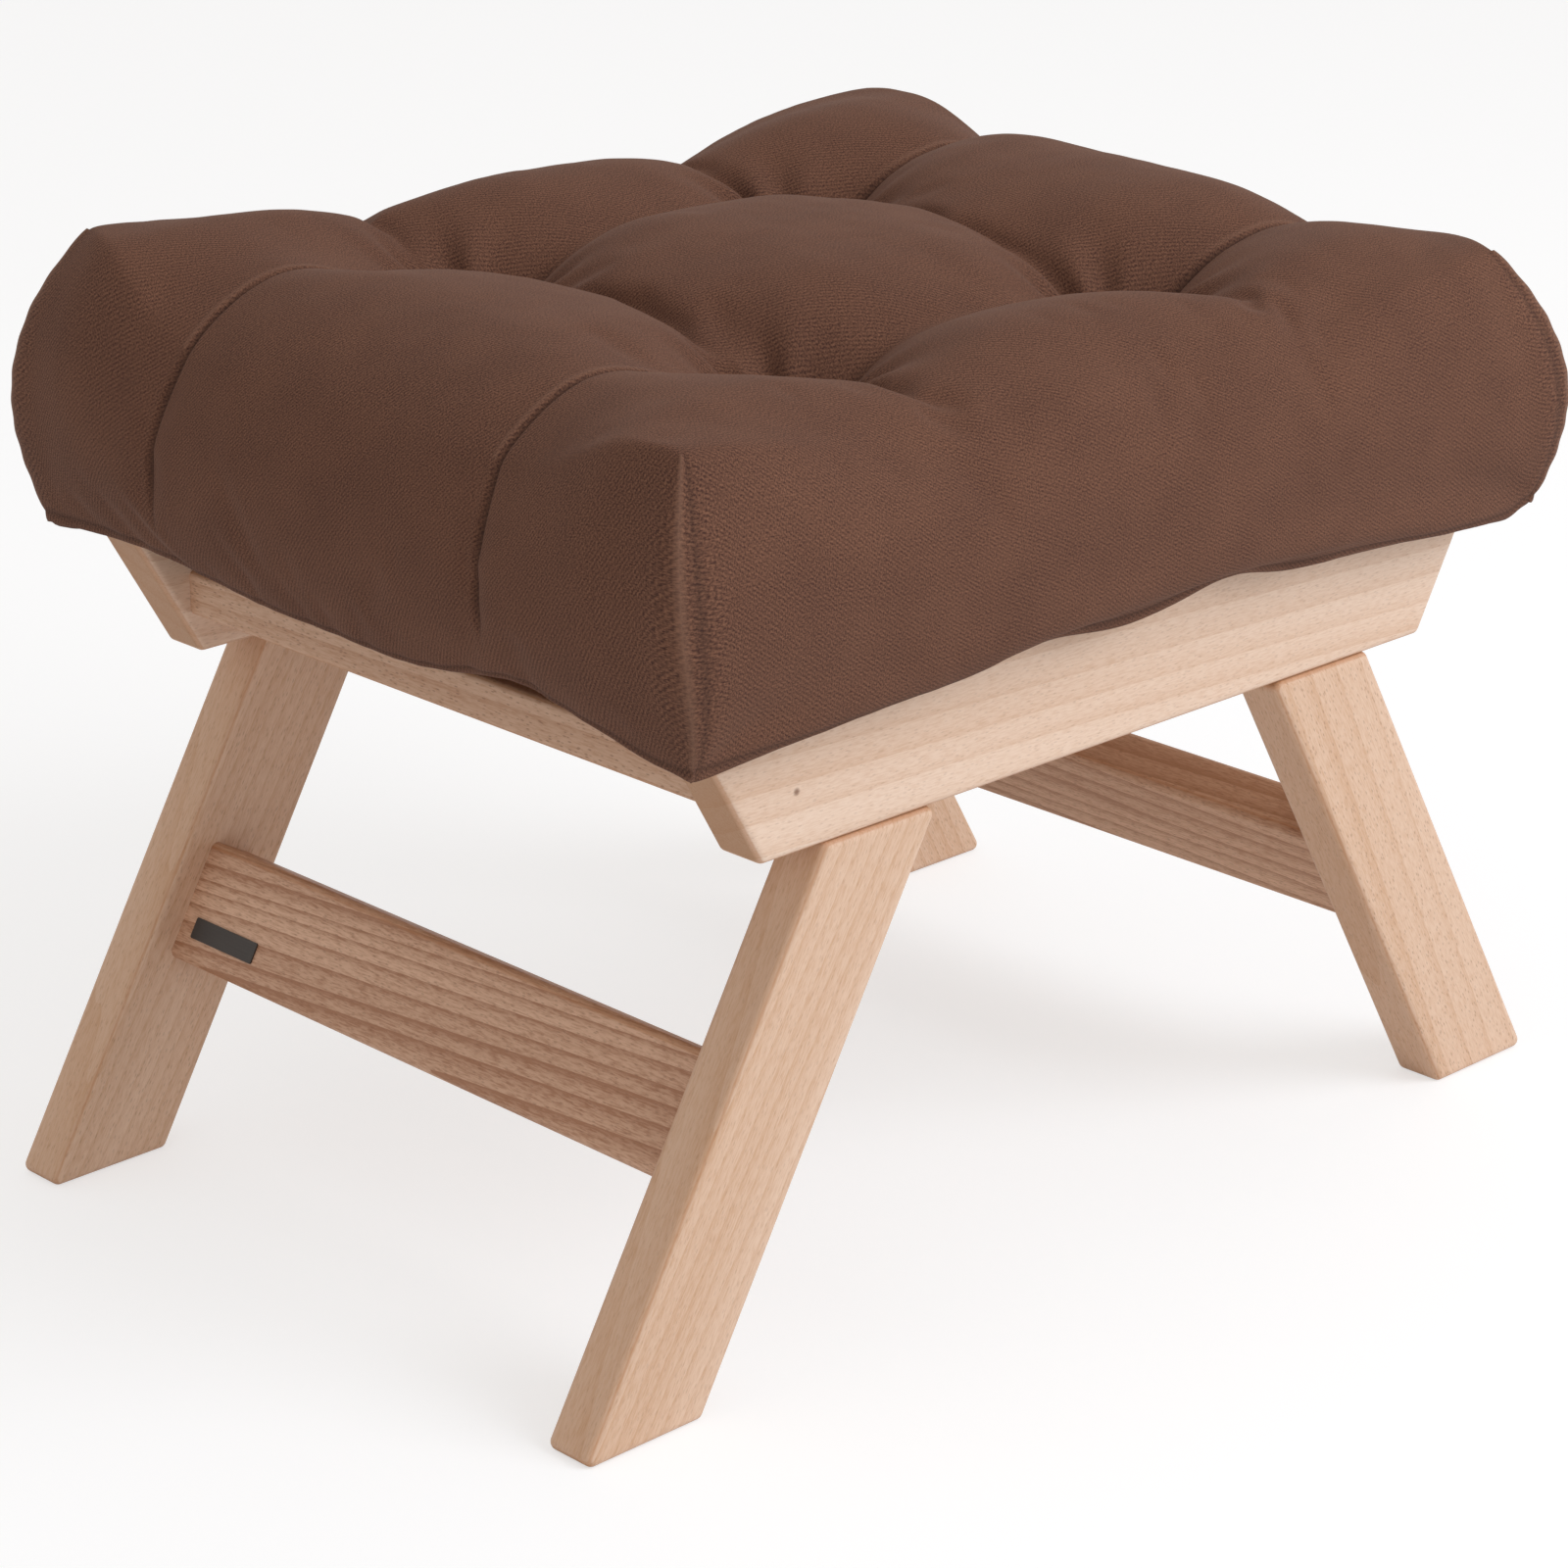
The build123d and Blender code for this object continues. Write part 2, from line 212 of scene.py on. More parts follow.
# Their colours are browner and their grain lines stronger than the rails': partly their own straight grain,
# partly painted shade, as they stand low between the legs, turned from the lamp.
dress("left_stretcher", beech(
    "beech_left_stretcher", level_along_y, pith=(-420, 0, 60), pale="#e3bb9e", dark="#a87758",
    ring_width=6.5, ring_strength=0.75, fleck_strength=0.4))
dress("right_stretcher", beech(
    "beech_right_stretcher", level_along_y, pith=(430, 0, 70), pale="#dbb395", dark="#a87858",
    ring_width=6.5, ring_strength=0.75, fleck_strength=0.5))

# Seat slats: five flat beech boards, dowelled and glued between the rails.
# They carry the cushion and tie the two sides of the frame together, with their grain along Y.
# Their colours are darker than the rails': painted shade, for their place under the cushion.
for number in range(1, 6):
    slat_pith = (-230 + 100 * number, 0, 150 + 15 * number)
    dress(f"seat_slat_{number}", beech(
        f"beech_seat_slat_{number}", level_along_y, slat_pith, pale="#dcb79b", dark="#be9070",
        ring_width=9.0, ring_strength=0.5, fleck_strength=0.6))

# Dowels: turned beech pins, glued half into each board of a joint.
# The boards hide them, so all of them share one plain finish.
dowel_beech = beech(
    "beech_dowels", level_along_y, pith=(0, 0, 0), pale="#dab394", dark="#c39a78",
    ring_width=5.0, ring_strength=0.2, fleck_strength=0.2)
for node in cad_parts:
    if node.endswith("_dowels"):
        dress(node, dowel_beech)

# Label plate: a thin blank plate of black anodised metal, glued to the left stretcher.
# Anodising leaves it dark and satin, with a very fine brushed line along its length.
label_metal, tree, surface = new_material("black_anodised_plate")
place = add(tree, "ShaderNodeTexCoord")
brushed = add(tree, "ShaderNodeMapping", {
    "Vector": place.outputs["Object"],
    "Scale": (0.4 * millimetre, 20 * millimetre, 0.4 * millimetre)}, vector_type="TEXTURE")
lines = add(tree, "ShaderNodeTexNoise", {"Vector": brushed.outputs["Vector"], "Scale": 1.0, "Detail": 2.0})
shine = add(tree, "ShaderNodeMapRange", {
    "Value": lines.outputs["Fac"], "From Min": 0.3, "From Max": 0.7, "To Min": 0.38, "To Max": 0.55})
tree.links.new(shine.outputs["Result"], surface.inputs["Roughness"])
surface.inputs["Base Color"].default_value = linear("#3a332e")
surface.inputs["Metallic"].default_value = 0.35
dress("label_plate", label_metal)

# Cushion cover: boxed brown cotton canvas, stuffed hard with fibre and drawn in by four ties,
# so nine puffs swell between them. A cloth simulation blows up a sewn box that is held at its
# base, at its corner seams and at the ties. It lies loose on the rails and slats.
cell = 6 * millimetre
hem_half_x = 0.272
hem_half_y = 0.230
edge_half_x = 0.279
edge_half_y = 0.223
corner_inset_x = 0.023
corner_inset_y = 0.012
near_corner_share = 0.2
hem_front = 0.316
hem_hang = 0.012
hem_hang_power = 2.5
front_gathers = ((0.004, -0.071, 0.030), (0.007, 0.055, 0.028), (-0.002, -0.015, 0.025))
hem_end = 0.310
end_gathers = ((0.011, -0.120, 0.045), (0.007, 0.150, 0.070))
end_hang = 0.005
end_hang_run = (0.165, 0.220)
hem_turn = (1.0, 0.93)
taper_power = 3
side_bulge = 0.014
side_bulge_power = 0.8
end_bulge = 0.026
end_bulge_power = 1.15
corner_bulge = 0.018
puff_height = 0.453
tilt_x = -0.006
tilt_y = 0.003
side_drop = 0.010
side_round = 0.055
end_drop = 0.029
end_round = 0.075
corner_drop = 0.004
near_corner_drop = 0.0095
far_corner_drop = -0.002
corner_run_x = (0.45, 0.95)
corner_run_y = (0.5, 0.95)
middle_sink = 0.004
middle_sink_run = (0.20, 0.10)
left_sink = 0.009
left_sink_run = (0.02, 0.12)
left_sink_back = (0.19, 0.13)
tuft_x = 0.105
tuft_y = 0.110
row_depth = 0.034
row_width = 0.062
row_between = 0.6
row_fade_in = 0.06
row_fade_out = 0.07
near_row_end = 0.08
far_row_end = 0.42
front_column_end = 0.1
back_column_end = 0.45
column_depth = 0.026
column_width = 0.075
column_between = 0.8
column_fade = 0.05
tuft_depth = 0.026
tuft_reach = 0.014
tuft_pin = 0.008
side_crease = 0.0015
side_crease_width = 0.018
side_crease_rise = (0.1, 0.5)
held_width = 0.005
seam_hold = 0.5
row_hold = 0.3
row_hold_loss = 0.88
row_hold_fade = (0.5, 0.85)
column_hold = 0.15
column_hold_fade = (0.8, 0.5)
end_hold_rise = (-0.8, 0.0)
taut_run = (0.78, 0.95)
rail_inside = 0.178
rail_top = 0.3208
sag_floor = 0.294
sag_run_x = (0.235, 0.18)
sag_run_y = (rail_inside, rail_inside - 0.05)
base_flat_x = 0.262
base_flat_y = 0.209
tie_dimple = 0.0095
tie_dimple_width = 0.012
askew = radians(-1.3)
tufts = [(i * tuft_x, j * tuft_y) for i in (-1, 1) for j in (-1, 1)]


def smooth_step(low, high, value):
    """Rise from 0 to 1 between low and high, with no kink at either end."""
    share = min(max((value - low) / (high - low), 0), 1)
    return share * share * (3 - 2 * share)


def swell(away, width):
    """A smooth hump: 1 in its middle, next to nothing from twice its width on."""
    return exp(-(away / width) ** 2)


def valley(away, width):
    """How deep a drawn-in line lies at a distance from it: 1 on the line, 0 from the width on."""
    return max(1 - abs(away) / width, 0) ** 2


def hem_height(along_x, along_y):
    """The lower edge hangs at the corners and is gathered up a little near the rows of ties; each gather
    has its rise, place and width."""
    x = -along_x * hem_half_x * (1 if along_y > 0 else -1)
    y = -along_y * hem_half_y * (1 if along_x > 0 else -1)
    front = hem_front - hem_hang * abs(along_x) ** hem_hang_power
    front += sum(rise * swell(x - middle, width) for rise, middle, width in front_gathers)
    end = hem_end + sum(rise * swell(y - middle, width) for rise, middle, width in end_gathers)
    end -= end_hang * smooth_step(*end_hang_run, -y)
    if abs(along_x) == 1:
        return end
    if abs(along_y) == 1:
        return end + (front - end) * smooth_step(*hem_turn, abs(along_x))
    return max(front, end)


def underside_height(x, y, along_x, along_y):
    """The base lies on the rails, sags to the slats between them and turns to the hem at its edge."""
    between = smooth_step(*sag_run_y, abs(y)) * smooth_step(*sag_run_x, abs(x))
    resting = rail_top + (sag_floor - rail_top) * between
    for tie_x, tie_y in tufts:
        from_tie = hypot(x - tie_x + tie_y * askew, y - tie_y - tie_x * askew)
        resting += tie_dimple * swell(from_tie, tie_dimple_width)
    to_front = smooth_step(base_flat_y, hem_half_y, abs(y))
    to_end = smooth_step(base_flat_x, hem_half_x, abs(x))
    if to_end > to_front:
        return resting + (hem_height(1 if x > 0 else -1, along_y) - resting) * to_end
    return resting + (hem_height(along_x, 1 if y > 0 else -1) - resting) * to_front


def top_place(along_x, along_y):
    """Where a point of the top lies, seen from above: the stuffing draws its corners in, the near one
    less."""
    drawn = near_corner_share if along_x < 0 and along_y < 0 else 1.0
    x = along_x * (edge_half_x - drawn * corner_inset_x * along_y ** 4)
    y = along_y * (edge_half_y - drawn * corner_inset_y * along_x ** 4)
    return x, y


def top_height(along_x, along_y):
    """The top before it is blown up: nine puffs between the rows and columns of ties, round at the edge,
    with the left ones lower."""
    x, y = top_place(along_x, along_y)
    from_row = abs(y) - tuft_y
    from_column = abs(x) - tuft_x
    if from_column < 0:
        row_share = row_between + (1 - row_between) * swell(from_column, row_fade_in)
    else:
        row_end = near_row_end if x < 0 else far_row_end
        row_share = row_end + (1 - row_end) * swell(from_column, row_fade_out)
    column_share = column_between
    if from_row >= 0:
        column_end = front_column_end if y < 0 else back_column_end
        column_share = column_end + (column_between - column_end) * swell(from_row, column_fade)
    corner = smooth_step(*corner_run_x, abs(along_x)) * smooth_step(*corner_run_y, abs(along_y))
    end = end_drop * valley((1 - abs(along_x)) * edge_half_x, end_round)
    side = side_drop * valley((1 - abs(along_y)) * edge_half_y, side_round)
    sunk = row_depth * row_share * valley(from_row, row_width)
    sunk += column_depth * column_share * valley(from_column, column_width)
    lower = middle_sink * smooth_step(*middle_sink_run, x)
    lower += left_sink * smooth_step(*left_sink_run, -x) * smooth_step(*left_sink_back, y)
    sunk += (hypot(end, side) + lower) * (1 - corner)
    if x < 0 and y < 0:
        sunk += corner * near_corner_drop
    elif x > 0 and y > 0:
        sunk += corner * far_corner_drop
    else:
        sunk += corner * corner_drop
    sunk += tuft_depth * exp(-hypot(from_row, from_column) / tuft_reach)
    return puff_height - sunk + tilt_x * along_x + tilt_y * along_y


def stuffed_shape(share):
    """The place of a point of the sewn box before it is blown up; shares run from -1 to 1."""
    along_x, along_y, up = share
    up = (up + 1) / 2
    hem_x = along_x * hem_half_x
    hem_y = along_y * hem_half_y
    if up == 0 and abs(along_x) < 1 and abs(along_y) < 1:
        return Vector((hem_x, hem_y, underside_height(hem_x, hem_y, along_x, along_y)))
    top_x, top_y = top_place(along_x, along_y)
    x = hem_x + (top_x - hem_x) * up ** taper_power
    y = hem_y + (top_y - hem_y) * up ** taper_power
    z = top_height(along_x, along_y)
    if up < 1:
        hem = hem_height(along_x, along_y)
        z = hem + (z - hem) * up
    if abs(along_x) == 1:
        crease = side_crease * valley(abs(top_y) - tuft_y, side_crease_width)
        crease *= smooth_step(*side_crease_rise, up)
        bulge = end_bulge + (corner_bulge - end_bulge) * along_y ** 4
        x += along_x * (bulge * sin(pi * up ** end_bulge_power) - crease)
    if abs(along_y) == 1:
        y += along_y * side_bulge * sin(pi * up ** side_bulge_power)
    return Vector((x - y * askew, y + x * askew, z))


def held_share(share):
    """How firmly a point keeps its place: the base and the ties fully, seams and drawn-in lines in part."""
    along_x, along_y, up = share
    x, y = top_place(along_x, along_y)
    on_top = up == 1
    if up == -1 or (on_top and any(hypot(x - tie_x, y - tie_y) < tuft_pin for tie_x, tie_y in tufts)):
        return 1.0
    if abs(along_x) == 1 and abs(along_y) == 1:
        return seam_hold
    row = row_hold * swell(abs(y) - tuft_y, held_width)
    row *= 1 - row_hold_loss * smooth_step(*row_hold_fade, abs(along_x))
    column = column_hold * swell(abs(x) - tuft_x, held_width)
    if on_top:
        return max(row, column * smooth_step(*column_hold_fade, abs(along_y)))
    if abs(along_x) == 1:
        return row * smooth_step(*end_hold_rise, up)
    return 0.0


box_mesh = bmesh.new()
bmesh.ops.create_cube(box_mesh, size=2.0)
box_sides = (2 * hem_half_x, 2 * hem_half_y, puff_height - side_drop - hem_end)
for axis in range(3):
    across = [e for e in box_mesh.edges if abs((e.verts[0].co - e.verts[1].co)[axis]) > 1]
    cuts = round(box_sides[axis] / cell) - 1
    bmesh.ops.subdivide_edges(box_mesh, edges=across, cuts=cuts, use_grid_fill=True)
cloth_place = box_mesh.verts.layers.float_vector.new("cloth_place")
cloth_map = box_mesh.loops.layers.uv.new("cloth")
for face in box_mesh.faces:
    face.smooth = True
    for corner in face.loops:
        along = corner.vert.co
        drop = (1 - along.z) / 2 * box_sides[2]
        if abs(face.normal.z) > 0.5:
            spot = (along.x * hem_half_x, along.y * hem_half_y)
        elif abs(face.normal.y) > 0.5:
            spot = (along.x * hem_half_x, along.y * (hem_half_y + drop))
        else:
            spot = (along.x * (hem_half_x + drop), along.y * hem_half_y)
        corner[cloth_map].uv = spot
box_mesh.verts.index_update()
held = []
taut = []
for point in box_mesh.verts:
    share = [round(value, 5) for value in point.co]
    point[cloth_place] = share
    point.co = stuffed_shape(share)
    held.append(held_share(share))
    taut.append(smooth_step(*taut_run, abs(share[1])))
cover_mesh = bpy.data.meshes.new("cushion_cover_cloth")
box_mesh.to_mesh(cover_mesh)
box_mesh.free()
cover = bpy.data.objects.new("cushion_cover_cloth", cover_mesh)
scene.collection.objects.link(cover)


def keep_result(piece):
    """Make what the modifiers give the piece's own mesh."""
    view_layer = bpy.context.evaluated_depsgraph_get()
    finished = bpy.data.meshes.new_from_object(piece.evaluated_get(view_layer))
    piece.modifiers.clear()
    piece.data = finished


def blow_up(piece, frames, pressure):
    """Swell the closed cloth against its held points and lines."""
    for name, shares in (("held", held), ("taut", taut)):
        group = piece.vertex_groups.new(name=name)
        for index, share in enumerate(shares):
            group.add([index], share, "REPLACE")
    cloth = piece.modifiers.new("cloth", "CLOTH")
    cloth.settings.quality = 6
    cloth.settings.mass = 0.3
    cloth.settings.tension_stiffness = 60
    cloth.settings.compression_stiffness = 60
    cloth.settings.shear_stiffness = 30
    cloth.settings.bending_stiffness = 8.0
    cloth.settings.air_damping = 5
    cloth.settings.use_pressure = True
    cloth.settings.uniform_pressure_force = pressure
    cloth.settings.shrink_min = -0.01
    cloth.settings.shrink_max = 0.012
    cloth.settings.vertex_group_shrink = "taut"
    cloth.settings.vertex_group_mass = "held"
    cloth.settings.effector_weights.gravity = 0
    cloth.collision_settings.use_collision = False
    cloth.point_cache.frame_start = 1
    cloth.point_cache.frame_end = frames
    for step in range(1, frames + 1):
        scene.frame_set(step)
    keep_result(piece)
    piece.vertex_groups.clear()
    scene.frame_set(1)


blow_up(cover, frames=30, pressure=30.0)

face_share = 0.999
slow_wave = 0.0006
slow_waves_per_metre = 22
fine_wave = 0.00025
fine_waves_per_metre = 70
crease_depth = 0.0048
crease_width = 0.0024
top_crease_run = (-0.075, -0.012)
end_crease_depth = 0.0020
end_crease_width = 0.0015
end_crease_rise = (0.16, 0.45)
near_end_run = (0.03, 0.10)
shade_width_share = 0.75
lip_place = 0.0030
lip_width = 0.0014
lip_rise = 0.0005
lip_highlight = 0.3
pleat_depth = 0.0036
pleat_from = 0.004
pleat_to = 0.1
pleat_ring = 0.032
pleat_spread = 0.022
pleat_count = 9
pleat_turn_x = 40
pleat_turn_y = 25
seam_ridge = 0.0014
seam_width = 0.0011
seam_groove = 0.0007
groove_place = 0.0026
groove_width = 0.0009
groove_shade = 0.6
ridge_highlight = 0.5
hem_stitch_height = 0.006
hem_stitch_width = 0.0016
pucker_depth = 0.0002
pucker_reach = 0.008
pucker_pitch = 0.014


def sewn_detail(share, place):
    """How far the cloth stands out at a point, and how much painted shade it gets there, up to 1, or
    painted
    highlight, below 0: the creases along the rows, the pleats at the ties, the sewn corners and hem, and a
    little unevenness."""
    along_x, along_y, up = share
    up = (up + 1) / 2
    flat_x, flat_y = top_place(along_x, along_y)
    on_top = up > face_share
    on_end = abs(along_x) > face_share
    on_front = abs(along_y) > face_share
    out = slow_wave * noise.noise(place * slow_waves_per_metre)
    out += fine_wave * noise.noise(place * fine_waves_per_metre)
    painted_shading = 0.0
    from_row = flat_y - (tuft_y if flat_y > 0 else -tuft_y)
    from_column = abs(flat_x) - tuft_x
    if on_top or on_end:
        near_end = smooth_step(*near_end_run, from_column)
        width = crease_width + (end_crease_width - crease_width) * near_end
        depth = crease_depth + (end_crease_depth - crease_depth) * near_end
        run = smooth_step(*top_crease_run, from_column) if on_top else smooth_step(*end_crease_rise, up)
        lip = near_end * run * swell(from_row - lip_place, lip_width)
        # Painted shade along the crease, and a painted highlight on the lip beside it, whose wall faces the
        # lamp.
        painted_shading = run * swell(from_row, shade_width_share * width) - lip_highlight * lip
        out += lip_rise * lip - depth * run * swell(from_row, width)
    if on_top:
        for x, y in tufts:
            away = hypot(flat_x - x, flat_y - y)
            if pleat_from < away < pleat_to:
                around = atan2(flat_y - y, flat_x - x)
                across_row = sin(around) ** 2
                pleat = cos(pleat_count * around + pleat_turn_x * x + pleat_turn_y * y)
                out += pleat_depth * across_row * swell(away - pleat_ring, pleat_spread) * pleat
    if on_end or on_front:
        from_corner = (1 - abs(along_y)) * hem_half_y if on_end else (1 - abs(along_x)) * hem_half_x
        rise = up * box_sides[2]
        beside = swell(from_corner - groove_place, groove_width) if on_front else 0.0
        hemmed = swell(rise - hem_stitch_height, hem_stitch_width)
        out += seam_ridge * swell(from_corner, seam_width) - seam_groove * (beside + hemmed)
        out += pucker_depth * exp(-from_corner / pucker_reach) * cos(2 * pi * rise / pucker_pitch)
        # Painted shade in the groove beside the corner seam and in the hem stitch; a painted highlight on
        # the seam ridge.
        painted_shading = max(painted_shading, groove_shade * beside, groove_shade * hemmed)
        painted_shading -= ridge_highlight * swell(from_corner, seam_width)
    return out, painted_shading


stuffing_mesh = cover.data.copy()
finer = cover.modifiers.new("finer", "SUBSURF")
finer.levels = 2
finer.render_levels = 2
keep_result(cover)
places = [item.vector.copy() for item in cover.data.attributes["cloth_place"].data]
outward = [point.normal.copy() for point in cover.data.vertices]
shading_values = []
for point, share, normal in zip(cover.data.vertices, places, outward):
    out, painted_shading = sewn_detail(share, point.co) if share[2] > -face_share else (0.0, 0.0)
    point.co += normal * out
    shading_values.append(painted_shading)
# Each point keeps its painted shade, above 0, and its painted highlight, below 0, for the canvas.
cover.data.attributes.new("painted_shading", "FLOAT", "POINT").data.foreach_set("value", shading_values)
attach(cover, "cushion")
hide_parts("cushion_cover", "cushion_base")

# Brown cotton canvas: a matt twill of dark and light brown yarn, so the eye sees a fine slanting grain,
# with painted shade in its creases and grooves and a painted highlight on its seam ridges and crease lips.
# The real weave is too fine to show in the render, so its twill and yarn are drawn about twice as coarse.
canvas, tree, surface = new_material("brown_cotton_canvas")
cloth = add(tree, "ShaderNodeUVMap", uv_map="cloth")
flat = add(tree, "ShaderNodeMapping", {
    "Vector": cloth.outputs["UV"], "Scale": (millimetre, millimetre, millimetre)}, vector_type="TEXTURE")
twill_pitch = 1.8
twill_angle = radians(55)
yarn_pitch = 0.9
yarn_share = 0.35
weave_share = 0.27
twill_turn = add(tree, "ShaderNodeMapping", {
    "Vector": flat.outputs["Vector"], "Rotation": (0, 0, twill_angle)}, vector_type="TEXTURE")
twill = add(tree, "ShaderNodeTexWave", {
    "Vector": twill_turn.outputs["Vector"],
    "Scale": 2 * pi / (20 * twill_pitch), "Distortion": 0.6, "Detail": 2.0, "Detail Scale": 1.5})
yarn = add(tree, "ShaderNodeTexWave", {
    "Vector": flat.outputs["Vector"],
    "Scale": 2 * pi / (20 * yarn_pitch), "Distortion": 1.0, "Detail": 1.0}, bands_direction="Y")
warp = add(tree, "ShaderNodeMapping", {
    "Vector": flat.outputs["Vector"], "Scale": (0.7, 1.0, 1.0)}, vector_type="TEXTURE")
melange = add(tree, "ShaderNodeTexNoise", {
    "Vector": warp.outputs["Vector"], "Scale": 1.0, "Detail": 3.0, "Roughness": 0.75})
brushed = add(tree, "ShaderNodeTexNoise", {
    "Vector": flat.outputs["Vector"], "Scale": 0.025, "Detail": 3.0, "Roughness": 0.55})
fluff = add(tree, "ShaderNodeTexVoronoi", {"Vector": flat.outputs["Vector"], "Scale": 0.05})
weave = add(tree, "ShaderNodeMath", {
    0: yarn.outputs["Fac"], 1: yarn_share, 2: twill.outputs["Fac"]}, operation="MULTIPLY_ADD")
blend = add(tree, "ShaderNodeMapRange", {
    "Value": melange.outputs["Fac"], "From Min": 0.3, "From Max": 0.7, "To Min": -0.45, "To Max": 0.93})
blend = add(tree, "ShaderNodeMath", {
    0: weave.outputs["Value"], 1: weave_share, 2: blend.outputs["Result"]}, operation="MULTIPLY_ADD")
brush_tone = add(tree, "ShaderNodeMapRange", {
    "Value": brushed.outputs["Fac"], "From Min": 0.3, "From Max": 0.7, "To Min": -0.03, "To Max": 0.10})
blend = add(tree, "ShaderNodeMath", {
    0: blend.outputs["Value"], 1: brush_tone.outputs["Result"]}, operation="ADD", use_clamp=True)
yarn_colour = add(tree, "ShaderNodeMix", {
    "Factor": blend.outputs["Value"], 6: linear("#402720"), 7: linear("#825b47")}, data_type="RGBA")
speck = add(tree, "ShaderNodeMapRange", {
    "Value": fluff.outputs["Distance"], "From Min": 0.025, "From Max": 0.04, "To Min": 0.5, "To Max": 0.0})
specked = add(tree, "ShaderNodeMix", {
    "Factor": speck.outputs["Result"], 6: yarn_colour.outputs[2], 7: linear("#3a2620")}, data_type="RGBA")
# Painted shade: the canvas darkens towards deep brown where the cloth is creased or grooved.
painted_shading_node = add(tree, "ShaderNodeAttribute", attribute_name="painted_shading")
painted_shade_amount = add(tree, "ShaderNodeMapRange", {
    "Value": painted_shading_node.outputs["Fac"], "From Min": 0.0, "From Max": 1.0, "To Min": 0.0, "To Max": 0.7})
shaded = add(tree, "ShaderNodeMix", {
    "Factor": painted_shade_amount.outputs["Result"], 6: specked.outputs[2], 7: linear("#2c1c17")}, data_type="RGBA")
# Painted highlight: the canvas pales on the crease lips and seam ridges.
painted_highlight_amount = add(tree, "ShaderNodeMapRange", {
    "Value": painted_shading_node.outputs["Fac"], "From Min": 0.0, "From Max": -0.5, "To Min": 0.0, "To Max": 0.45})
painted_highlight = add(tree, "ShaderNodeMix", {
    "Factor": painted_highlight_amount.outputs["Result"], 6: shaded.outputs[2], 7: linear("#94705d")}, data_type="RGBA")
tree.links.new(painted_highlight.outputs[2], surface.inputs["Base Color"])
surface.inputs["Roughness"].default_value = 0.92
surface.inputs["Specular IOR Level"].default_value = 0.25
surface.inputs["Sheen Weight"].default_value = 0.05
surface.inputs["Sheen Roughness"].default_value = 0.45
surface.inputs["Sheen Tint"].default_value = linear("#c9a48f")
bump = add(tree, "ShaderNodeBump", {
    "Height": weave.outputs["Value"], "Strength": 0.2, "Distance": 0.22 * millimetre})
tree.links.new(bump.outputs["Normal"], surface.inputs["Normal"])
cover.data.materials.clear()
cover.data.materials.append(canvas)

# Filling: loose white polyester fibre, packed tight inside the cover.
# It follows the cover's shape a little below the cloth, and draws in at the lower rim, so none shows.
stuffing_gap = 0.010
rim_floor = 0.328
rim_top = 0.365
rim_draw = 0.06
rim_half_x = 0.22
stuffing = bpy.data.objects.new("cushion_fibre_filling", stuffing_mesh)
scene.collection.objects.link(stuffing)
inward = [point.normal * -stuffing_gap for point in stuffing_mesh.vertices]
for point, shift in zip(stuffing_mesh.vertices, inward):
    point.co += shift
    drawn_in = 1 - rim_draw * smooth_step(rim_top, rim_floor, point.co.z)
    point.co.x *= drawn_in
    point.co.y *= drawn_in
    if abs(point.co.x) > rim_half_x or abs(point.co.y) > rail_inside:
        point.co.z = max(point.co.z, rim_floor)
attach(stuffing, "cushion")
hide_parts("cushion_filling")

# White polyester fibre: matt off-white wisps, lumpy like wadding.
fibre, tree, surface = new_material("white_fibre")
place = add(tree, "ShaderNodeTexCoord")
tufted = add(tree, "ShaderNodeTexNoise", {
    "Vector": place.outputs["Object"], "Scale": 1 / (6 * millimetre), "Detail": 5.0, "Roughness": 0.7})
fibre_colour = add(tree, "ShaderNodeMix", {
    "Factor": tufted.outputs["Fac"], 6: linear("#dcd8d0"), 7: linear("#f2efe9")}, data_type="RGBA")
tree.links.new(fibre_colour.outputs[2], surface.inputs["Base Color"])
surface.inputs["Roughness"].default_value = 0.95
bump = add(tree, "ShaderNodeBump", {
    "Height": tufted.outputs["Fac"], "Strength": 0.8, "Distance": 2 * millimetre})
tree.links.new(bump.outputs["Normal"], surface.inputs["Normal"])
stuffing_mesh.materials.clear()
stuffing_mesh.materials.append(fibre)

# Tuft ties: four waxed brown threads, sewn through the cushion with a long needle.
# Each is pulled tight and knotted under the base, in a dimple that it makes there, and holds a pit down.
tie_radius = 1.2 * millimetre
knot_radius = 3.5 * millimetre
knot_flatness = 0.6
twist_pitch = 1.2 * millimetre
tie_low = 0.3035
tie_mesh = bmesh.new()
for x, y in tufts:
    top = stuffed_shape((x / edge_half_x, y / edge_half_y, 1.0))
    thread = bmesh.ops.create_cone(
        tie_mesh, segments=12, radius1=tie_radius, radius2=tie_radius, depth=top.z - tie_low, cap_ends=True)
    middle_place = Vector((top.x, top.y, (top.z + tie_low) / 2))
    bmesh.ops.translate(tie_mesh, verts=thread["verts"], vec=middle_place)
    knot = bmesh.ops.create_uvsphere(tie_mesh, u_segments=16, v_segments=10, radius=knot_radius)
    bmesh.ops.scale(tie_mesh, verts=knot["verts"], vec=(1.0, 1.0, knot_flatness))
    bmesh.ops.translate(tie_mesh, verts=knot["verts"], vec=Vector((top.x, top.y, tie_low)))
for face in tie_mesh.faces:
    face.smooth = True
ties_mesh = bpy.data.meshes.new("tuft_tie_threads")
tie_mesh.to_mesh(ties_mesh)
tie_mesh.free()
ties = bpy.data.objects.new("tuft_tie_threads", ties_mesh)
scene.collection.objects.link(ties)
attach(ties, "cushion")
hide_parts("tuft_ties")

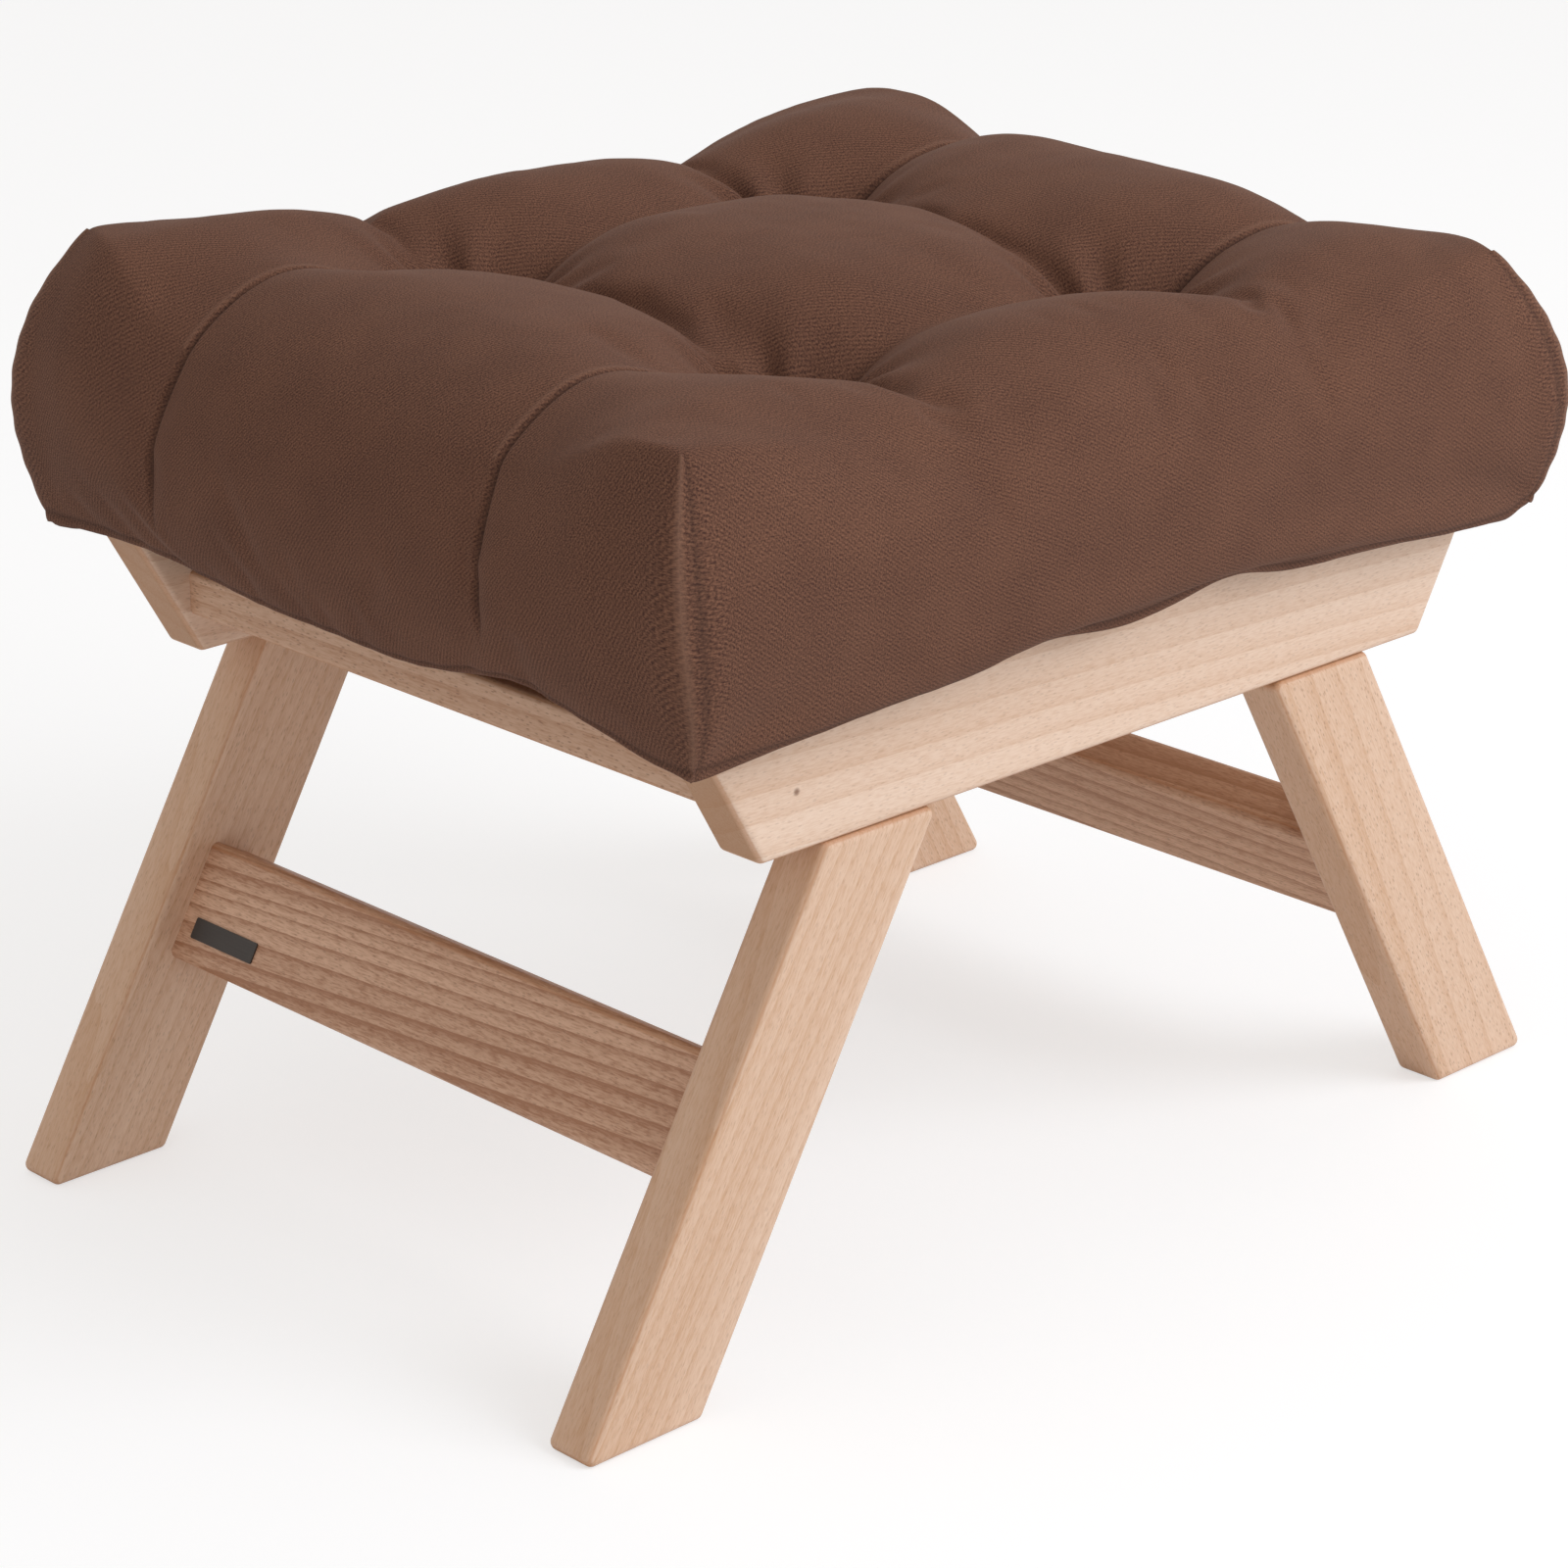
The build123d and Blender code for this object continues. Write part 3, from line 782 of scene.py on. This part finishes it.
# Waxed brown thread: dark brown strands twisted together, with a dull wax shine.
thread_brown, tree, surface = new_material("waxed_brown_thread")
place = add(tree, "ShaderNodeTexCoord")
twist = add(tree, "ShaderNodeTexWave", {
    "Vector": place.outputs["Object"], "Scale": 2 * pi / (20 * twist_pitch)}, bands_direction="DIAGONAL")
thread_colour = add(tree, "ShaderNodeMix", {
    "Factor": twist.outputs["Fac"], 6: linear("#3d2920"), 7: linear("#5d4234")}, data_type="RGBA")
tree.links.new(thread_colour.outputs[2], surface.inputs["Base Color"])
surface.inputs["Roughness"].default_value = 0.6
ties_mesh.materials.append(thread_brown)

# Studio: a white paper floor that runs past the edge of the view, one large soft lamp and an even sky.
# The paper is matt, and part of what the camera sees of it is plain white, so its shadows stay pale.
floor_half = 8.0
floor_white_share = 0.45
bpy.ops.mesh.primitive_plane_add(size=2 * floor_half)
floor = bpy.context.object
floor.name = "studio_floor"


def backdrop_rays(tree):
    """1 for rays that show the background: from the camera, off shiny pieces and through clear ones."""
    path = add(tree, "ShaderNodeLightPath")
    shown = add(tree, "ShaderNodeMath", {
        0: path.outputs["Is Camera Ray"], 1: path.outputs["Is Glossy Ray"]}, operation="ADD")
    shown = add(tree, "ShaderNodeMath", {
        0: shown.outputs["Value"], 1: path.outputs["Is Transmission Ray"]}, operation="ADD", use_clamp=True)
    return shown.outputs["Value"]


paper, tree, surface = new_material("white_paper_floor")
surface.inputs["Base Color"].default_value = linear("#f1f3f5")
surface.inputs["Roughness"].default_value = 0.9
glow = add(tree, "ShaderNodeEmission", {"Color": (1, 1, 1, 1), "Strength": 1.33})
seen = add(tree, "ShaderNodeMath", {
    0: backdrop_rays(tree), 1: floor_white_share}, operation="MULTIPLY")
mixed = add(tree, "ShaderNodeMixShader", {
    "Fac": seen.outputs["Value"], 1: surface.outputs["BSDF"], 2: glow.outputs["Emission"]})
tree.links.new(mixed.outputs["Shader"], tree.nodes["Material Output"].inputs["Surface"])
floor.data.materials.append(paper)

world = bpy.data.worlds.new("even_sky")
world.use_nodes = True
scene.world = world
sky = world.node_tree
sky.nodes.clear()
even = add(sky, "ShaderNodeBackground", {"Color": (1.0, 0.95, 0.91, 1), "Strength": 0.6})
white = add(sky, "ShaderNodeBackground", {"Color": (1, 1, 1, 1), "Strength": 1.0})
either = add(sky, "ShaderNodeMixShader", {
    "Fac": backdrop_rays(sky), 1: even.outputs["Background"], 2: white.outputs["Background"]})
add(sky, "ShaderNodeOutputWorld", {"Surface": either.outputs["Shader"]})

stool_middle = Vector((0, 0, 0.25))


def soft_lamp(name, place, size, power, colour):
    """A square lamp aimed at the middle of the stool."""
    lamp = bpy.data.lights.new(name, "AREA")
    lamp.size = size
    lamp.energy = power
    lamp.color = colour
    holder = bpy.data.objects.new(name, lamp)
    holder.location = place
    holder.rotation_euler = (stool_middle - Vector(place)).to_track_quat("-Z", "Y").to_euler()
    scene.collection.objects.link(holder)


soft_lamp("key_lamp", place=(1.1, -2.4, 2.2), size=2.0, power=53, colour=(0.97, 1.0, 1.05))

# Photo camera: a long lens, high and to the left of the front, where the photograph was taken from.
# Its lens, place and aim are the ones fitted to the photograph.
camera_data = bpy.data.cameras.new("photo_camera")
camera_data.sensor_width = 36
camera_data.lens = 105.07
camera = bpy.data.objects.new("photo_camera", camera_data)
camera.location = (-1.4644, -1.5082, 0.9635)
look_at = Vector((-0.00855, -0.00139, 0.17627))
camera.rotation_euler = (look_at - camera.location).to_track_quat("-Z", "Y").to_euler()
scene.collection.objects.link(camera)
scene.camera = camera
scene.view_settings.view_transform = "Standard"
